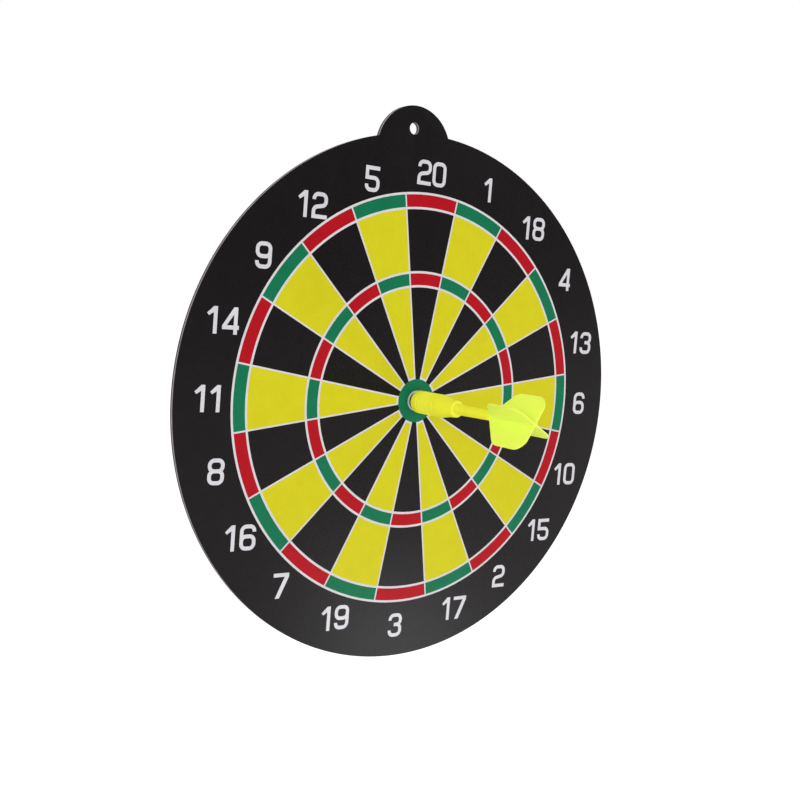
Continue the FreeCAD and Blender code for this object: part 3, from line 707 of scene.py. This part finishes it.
def black_film():
    """Calendered vinyl with flooded black ink: satin, dielectric, finely grained."""
    material, tree = new_material("black_vinyl_film")
    place = add_node(tree, "ShaderNodeTexCoord").outputs["Object"]
    mottle = add_node(tree, "ShaderNodeTexNoise", {
        "Vector": place, "Scale": per(5), "Detail": 4.0})
    grain = add_node(tree, "ShaderNodeTexNoise", {
        "Vector": place, "Scale": per(0.8), "Detail": 3.0})
    tone = add_node(tree, "ShaderNodeMix", {
        MIX_FACTOR: mottle.outputs[0], MIX_A: colour("#131011"), MIX_B: colour("#1c1819")},
        data_type="RGBA")
    gloss = add_node(tree, "ShaderNodeMapRange", {
        "Value": grain.outputs[0], "To Min": 0.24, "To Max": 0.32})
    bump = add_node(tree, "ShaderNodeBump", {
        "Height": grain.outputs[0], "Strength": 0.25, "Distance": 0.06 * MM})
    return with_surface(material, add_node(tree, "ShaderNodeBsdfPrincipled", {
        "Base Color": tone.outputs[MIX_RESULT], "Roughness": gloss.outputs[0],
        "Normal": bump.outputs[0], "IOR": 1.5, "Specular IOR Level": SATIN_LEVEL}))


film_finish = black_film()


# %% [markdown]
# ## Screen inks
#
# The beds, lines and numerals are screen-printed in thick opaque inks on the black film.
# Such ink lies as a level, slightly glossy skin whose thickness follows the mesh, so its
# colour wavers by a few percent. Each ink gets its own two tones of one recipe, where a
# single painted face would need an image. A real mesh is about 0.15 mm wide, too fine to
# show, and is drawn at 0.7 mm.

# %% Ink finish


def screen_ink(name, thin, full, flake=0.0):
    """Opaque screen ink between a thin and a full tone, a little glossier where it is full.

    flake is the share of metal flake in the ink, which mirrors the room in its own tone.
    """
    material, tree = new_material(name)
    place = add_node(tree, "ShaderNodeTexCoord").outputs["Object"]
    flood = add_node(tree, "ShaderNodeTexNoise", {"Vector": place, "Scale": per(9), "Detail": 3.0})
    mesh = add_node(tree, "ShaderNodeTexNoise", {
        "Vector": place, "Scale": per(0.7), "Detail": 2.0})
    laid = add_node(tree, "ShaderNodeMath", {
        0: flood.outputs[0], 1: mesh.outputs[0]}, operation="MULTIPLY")
    spread = add_node(tree, "ShaderNodeMapRange", {
        "Value": laid.outputs[0], "From Min": 0.12, "From Max": 0.38})
    tone = add_node(tree, "ShaderNodeMix", {
        MIX_FACTOR: spread.outputs[0], MIX_A: colour(thin), MIX_B: colour(full)}, data_type="RGBA")
    gloss = add_node(tree, "ShaderNodeMapRange", {
        "Value": mesh.outputs[0], "To Min": 0.33, "To Max": 0.25})
    bump = add_node(tree, "ShaderNodeBump", {
        "Height": mesh.outputs[0], "Strength": 0.2, "Distance": 0.03 * MM})
    return with_surface(material, add_node(tree, "ShaderNodeBsdfPrincipled", {
        "Base Color": tone.outputs[MIX_RESULT], "Roughness": gloss.outputs[0],
        "Normal": bump.outputs[0], "IOR": 1.5, "Specular IOR Level": SATIN_LEVEL,
        "Metallic": flake}))


white_ink = screen_ink("white_screen_ink", "#d8d4d8", "#e2dee2")
silver_ink = screen_ink("silver_white_screen_ink", "#d6d3d9", "#e2dfe5", 0.08)
yellow_ink = screen_ink("yellow_screen_ink", "#d6cd19", "#dbd31f")
red_ink = screen_ink("red_screen_ink", "#b00919", "#ba0c1d")
green_ink = screen_ink("green_screen_ink", "#0b714c", "#0f7953")


# %% [markdown]
# ## Paper boards
#
# Core and backing are grey chipboard and dyed board, felted from short fibres. They are
# fully matt, and their cut edges show fine layers along the sheet. A wave texture would
# draw those layers too evenly, so they come from a noise that is squeezed in depth: it is
# long along the edge and thin through it.

# %% Board finish
THROUGH_THE_BOARD = (1, 5, 1)        # y runs through the thickness, where it is finer


def paper_board(name, dark, pale):
    """Felted board between two tones, with fibres that lie in the plane of the sheet."""
    material, tree = new_material(name)
    place = add_node(tree, "ShaderNodeTexCoord").outputs["Object"]
    layers = add_node(tree, "ShaderNodeMapping", {"Vector": place, "Scale": THROUGH_THE_BOARD})
    fibres = add_node(tree, "ShaderNodeTexNoise", {
        "Vector": layers.outputs[0], "Scale": per(0.9), "Detail": 5.0, "Roughness": 0.6})
    flocks = add_node(tree, "ShaderNodeTexNoise", {
        "Vector": place, "Scale": per(7), "Detail": 2.0})
    mixed = add_node(tree, "ShaderNodeMath", {
        0: fibres.outputs[0], 1: flocks.outputs[0]}, operation="ADD")
    spread = add_node(tree, "ShaderNodeMapRange", {
        "Value": mixed.outputs[0], "From Min": 0.7, "From Max": 1.3})
    tone = add_node(tree, "ShaderNodeMix", {
        MIX_FACTOR: spread.outputs[0], MIX_A: colour(dark), MIX_B: colour(pale)}, data_type="RGBA")
    bump = add_node(tree, "ShaderNodeBump", {
        "Height": fibres.outputs[0], "Strength": 0.6, "Distance": 0.08 * MM})
    return with_surface(material, add_node(tree, "ShaderNodeBsdfPrincipled", {
        "Base Color": tone.outputs[MIX_RESULT], "Roughness": 0.9,
        "Normal": bump.outputs[0], "IOR": 1.45}))


core_finish = paper_board("grey_chipboard", "#827a79", "#aaa2a0")
backing_finish = paper_board("dyed_brown_board", "#332a2b", "#4c4243")


# %% [markdown]
# ## Rolled steel and sintered ferrite
#
# The sheet under the film is cold-rolled steel, seen only as a dull line in the cut edge.
# Its rolling marks are a noise squeezed through the sheet's thickness, and wider than real
# ones so that they show. The magnet is a pressed and fired powder: dark grey and matt, with
# grains too fine to see. They are drawn 0.35 mm wide by a cell texture, which gives speckle
# and bump at once, where a noise would look like cloud.

# %% Metal and ferrite finishes
THROUGH_THE_SHEET = (1, 6, 1)


def rolled_steel():
    """Cold-rolled sheet: metal between two greys, with marks that lie along the sheet."""
    material, tree = new_material("cold_rolled_steel")
    place = add_node(tree, "ShaderNodeTexCoord").outputs["Object"]
    drawn = add_node(tree, "ShaderNodeMapping", {"Vector": place, "Scale": THROUGH_THE_SHEET})
    marks = add_node(tree, "ShaderNodeTexNoise", {
        "Vector": drawn.outputs[0], "Scale": per(0.5), "Detail": 4.0})
    tone = add_node(tree, "ShaderNodeMix", {
        MIX_FACTOR: marks.outputs[0], MIX_A: colour("#4b4a4a"), MIX_B: colour("#6a6868")},
        data_type="RGBA")
    gloss = add_node(tree, "ShaderNodeMapRange", {
        "Value": marks.outputs[0], "To Min": 0.35, "To Max": 0.5})
    return with_surface(material, add_node(tree, "ShaderNodeBsdfPrincipled", {
        "Base Color": tone.outputs[MIX_RESULT], "Roughness": gloss.outputs[0], "Metallic": 1.0}))


def sintered_ferrite():
    """Fired iron-oxide powder: dark grey, matt, finely grained."""
    material, tree = new_material("sintered_ferrite")
    place = add_node(tree, "ShaderNodeTexCoord").outputs["Object"]
    grains = add_node(tree, "ShaderNodeTexVoronoi", {"Vector": place, "Scale": per(0.35)})
    tone = add_node(tree, "ShaderNodeMix", {
        MIX_FACTOR: grains.outputs["Distance"], MIX_A: colour("#262523"),
        MIX_B: colour("#34322f")}, data_type="RGBA")
    bump = add_node(tree, "ShaderNodeBump", {
        "Height": grains.outputs["Distance"], "Strength": 0.4, "Distance": 0.04 * MM})
    return with_surface(material, add_node(tree, "ShaderNodeBsdfPrincipled", {
        "Base Color": tone.outputs[MIX_RESULT], "Roughness": 0.55,
        "Normal": bump.outputs[0], "IOR": 1.5}))


steel_finish = rolled_steel()
ferrite_finish = sintered_ferrite()


# %% [markdown]
# ## Fluorescent plastic
#
# Barrel, stem and flight are soft polyethylene with a fluorescent yellow dye. Light goes a
# few millimetres into such plastic and comes out again, so shadows in it are bright and
# yellow. A brighter colour alone would look like paint; subsurface scattering brings the
# depth, with a faint flow mottle and a moulded skin whose grain is drawn coarser than real.
# The dye also turns violet light into yellow. That is drawn as a painted glow: an even emission
# that brightens the plastic whatever light falls on it.

# %% Plastic finish
# painted glow: an emission that lifts the plastic's colour under any light, standing in for its
# fluorescence
PAINTED_GLOW = 0.1
SPREAD_BY_COLOUR = (1.0, 0.9, 0.2)   # red and green light travel far in it, blue is absorbed


def fluorescent_plastic(name, deep, bright, glow_colour, depth_mm):
    """Moulded polyethylene: satin skin, slight flow marks, light that spreads inside.

    glow_colour is the colour of a painted glow, an even emission that stands in for the light the
    fluorescent pigment gives back.
    """
    material, tree = new_material(name)
    place = add_node(tree, "ShaderNodeTexCoord").outputs["Object"]
    flow = add_node(tree, "ShaderNodeTexNoise", {
        "Vector": place, "Scale": per(6), "Detail": 2.0, "Distortion": 0.6})
    skin = add_node(tree, "ShaderNodeTexNoise", {
        "Vector": place, "Scale": per(0.5), "Detail": 3.0})
    tone = add_node(tree, "ShaderNodeMix", {
        MIX_FACTOR: flow.outputs[0], MIX_A: colour(deep), MIX_B: colour(bright)}, data_type="RGBA")
    gloss = add_node(tree, "ShaderNodeMapRange", {
        "Value": skin.outputs[0], "To Min": 0.34, "To Max": 0.46})
    bump = add_node(tree, "ShaderNodeBump", {
        "Height": skin.outputs[0], "Strength": 0.15, "Distance": 0.03 * MM})
    return with_surface(material, add_node(tree, "ShaderNodeBsdfPrincipled", {
        "Base Color": tone.outputs[MIX_RESULT], "Roughness": gloss.outputs[0],
        "Normal": bump.outputs[0], "IOR": 1.52, "Specular IOR Level": 0.3,
        "Subsurface Weight": 0.6, "Subsurface Radius": SPREAD_BY_COLOUR,
        "Subsurface Scale": depth_mm * MM,
        # the emission is a painted glow, an even brightening that stands in for the dye's
        # fluorescence
        "Emission Color": colour(glow_colour), "Emission Strength": PAINTED_GLOW}))


# the last colour of each finish is the colour of its painted glow
barrel_finish = fluorescent_plastic(
    "yellow_polyethylene", "#e8e72e", "#f0ee3a", "#fcff50", 2.2)
flight_finish = fluorescent_plastic(
    "lime_polyethylene", "#e2fb52", "#eaff5e", "#e8ff88", 1.0)


# %% [markdown]
# ## Every piece gets its finish
#
# New pieces take one material each. The inks are CAD nodes whose shapes are already right,
# so they only swap the material in their slots; copies of them would add nothing. The first
# word of an ink node's name says its ink.

# %% Assign finishes


def finish_with(piece, material):
    """One material on the whole piece."""
    piece.data.materials.clear()
    piece.data.materials.append(material)


for piece, material in ((film, film_finish), (steel, steel_finish), (core, core_finish),
                        (backing, backing_finish), (magnet, ferrite_finish),
                        (barrel, barrel_finish), (stem, barrel_finish),
                        (flight, flight_finish)):
    finish_with(piece, material)

INKS = {"white": white_ink, "yellow": yellow_ink, "red": red_ink, "green": green_ink,
        "numeral": silver_ink}
inked = 0
for name, node in frame["nodes"].items():
    ink = INKS.get(name.split("_")[0])
    if ink:
        finish_with(node, ink)
        inked += 1
print("CAD nodes with an ink:", inked)

# %% [markdown]
# ## Floor
#
# The board hangs well above a plain white studio floor. A floor that lamps make white would
# need so much light that the object burns out. So it is matt, and glows only for rays from
# the camera and for reflections, which Light Path picks out; shadows stay on the matt part.

# %% Floor
FLOOR_LEVEL = -1.35
FLOOR_HALF = 14.0                    # half its side, in metres
FLOOR_WHITE = (0.82, 0.82, 0.82, 1)
FLOOR_GLOW = 0.55
WHITE = (1, 1, 1, 1)

floor_corners = [(-FLOOR_HALF, -FLOOR_HALF, FLOOR_LEVEL), (FLOOR_HALF, -FLOOR_HALF, FLOOR_LEVEL),
                 (FLOOR_HALF, FLOOR_HALF, FLOOR_LEVEL), (-FLOOR_HALF, FLOOR_HALF, FLOOR_LEVEL)]
floor_mesh = bpy.data.meshes.new("studio_floor")
floor_mesh.from_pydata(floor_corners, [], [(0, 1, 2, 3)])
floor = bpy.data.objects.new("studio_floor", floor_mesh)
bpy.context.scene.collection.objects.link(floor)


def white_floor():
    """Matt white that glows for the camera and for reflections, but keeps its shadows."""
    material, tree = new_material("white_studio_floor")
    paint = add_node(tree, "ShaderNodeBsdfDiffuse", {"Color": FLOOR_WHITE})
    glow = add_node(tree, "ShaderNodeEmission", {"Color": WHITE, "Strength": FLOOR_GLOW})
    rays = add_node(tree, "ShaderNodeLightPath").outputs
    mirrored = add_node(tree, "ShaderNodeMath", {
        0: rays["Is Camera Ray"], 1: rays["Is Glossy Ray"]}, operation="MAXIMUM")
    seen = add_node(tree, "ShaderNodeMath", {
        0: mirrored.outputs[0], 1: rays["Is Transmission Ray"]}, operation="MAXIMUM")
    bright = add_node(tree, "ShaderNodeAddShader", {0: paint.outputs[0], 1: glow.outputs[0]})
    mix = add_node(tree, "ShaderNodeMixShader", {
        0: seen.outputs[0], 1: paint.outputs[0], 2: bright.outputs[0]})
    add_node(tree, "ShaderNodeOutputMaterial", {"Surface": mix.outputs[0]})
    return material


finish_with(floor, white_floor())
print("floor %.2f m below the hanging hole" % -FLOOR_LEVEL)

# %% [markdown]
# ## World
#
# The room is white all round. An image of a real room would bring its own colours in, so an
# even background is used, at three levels that Light Path tells apart: white where it is
# seen directly, a medium level that lights matt surfaces, and a dim one in reflections, so
# that the black film stays black.

# %% World
AMBIENT = 0.68
GLOSSY_SHARE = 0.3


def studio_world():
    """A background whose strength is the largest of its levels for the kind of ray."""
    world = bpy.data.worlds.new("white_studio")
    world.use_nodes = True
    tree = world.node_tree
    tree.nodes.clear()
    rays = add_node(tree, "ShaderNodeLightPath").outputs
    straight = add_node(tree, "ShaderNodeMath", {
        0: rays["Is Camera Ray"], 1: rays["Is Transmission Ray"]}, operation="MAXIMUM")
    mirrored = add_node(tree, "ShaderNodeMath", {
        0: rays["Is Glossy Ray"], 1: GLOSSY_SHARE}, operation="MULTIPLY")
    white = add_node(tree, "ShaderNodeMath", {
        0: straight.outputs[0], 1: mirrored.outputs[0]}, operation="MAXIMUM")
    matt = add_node(tree, "ShaderNodeMath", {
        0: rays["Is Diffuse Ray"], 1: AMBIENT}, operation="MULTIPLY")
    level = add_node(tree, "ShaderNodeMath", {
        0: white.outputs[0], 1: matt.outputs[0]}, operation="MAXIMUM")
    sky = add_node(tree, "ShaderNodeBackground", {"Color": WHITE, "Strength": level.outputs[0]})
    add_node(tree, "ShaderNodeOutputWorld", {"Surface": sky.outputs[0]})
    return world


bpy.context.scene.world = studio_world()
print("world:", bpy.context.scene.world.name)

# %% [markdown]
# ## Lamps
#
# Soft boxes are large square area lamps, whose size softens every shadow edge. The key
# stands to the left and models the dart, the fill opens its shadows from the right, a small
# low one puts a pale sheen on the lower half of the film, and one behind lights the back.

# %% Lamps
# Each lamp is its name, its place from the disc's centre and its side in metres, and watts.
SOFT_BOXES = [("key_box", (-1.9, -1.25, 0.75), 1.6, 19),
              ("fill_box", (1.9, -1.0, 1.3), 1.2, 10),
              ("low_box", (0.92, -1.32, -1.02), 0.45, 3.8),
              ("back_box", (0.6, 1.8, 1.2), 1.4, 16)]
for name, place, side, watts in SOFT_BOXES:
    light = bpy.data.lights.new(name, "AREA")
    light.size = side
    light.energy = watts
    lamp = bpy.data.objects.new(name, light)
    bpy.context.scene.collection.objects.link(lamp)
    lamp.location = DISC_CENTRE + Vector(place)
    lamp.rotation_mode = "QUATERNION"
    lamp.rotation_quaternion = (-Vector(place)).to_track_quat("-Z", "Y")
    print("%-9s %4.1f W, %.2f m from the disc" % (name, watts, Vector(place).length))

# %% Finish
bpy.context.scene.view_settings.view_transform = "Standard"
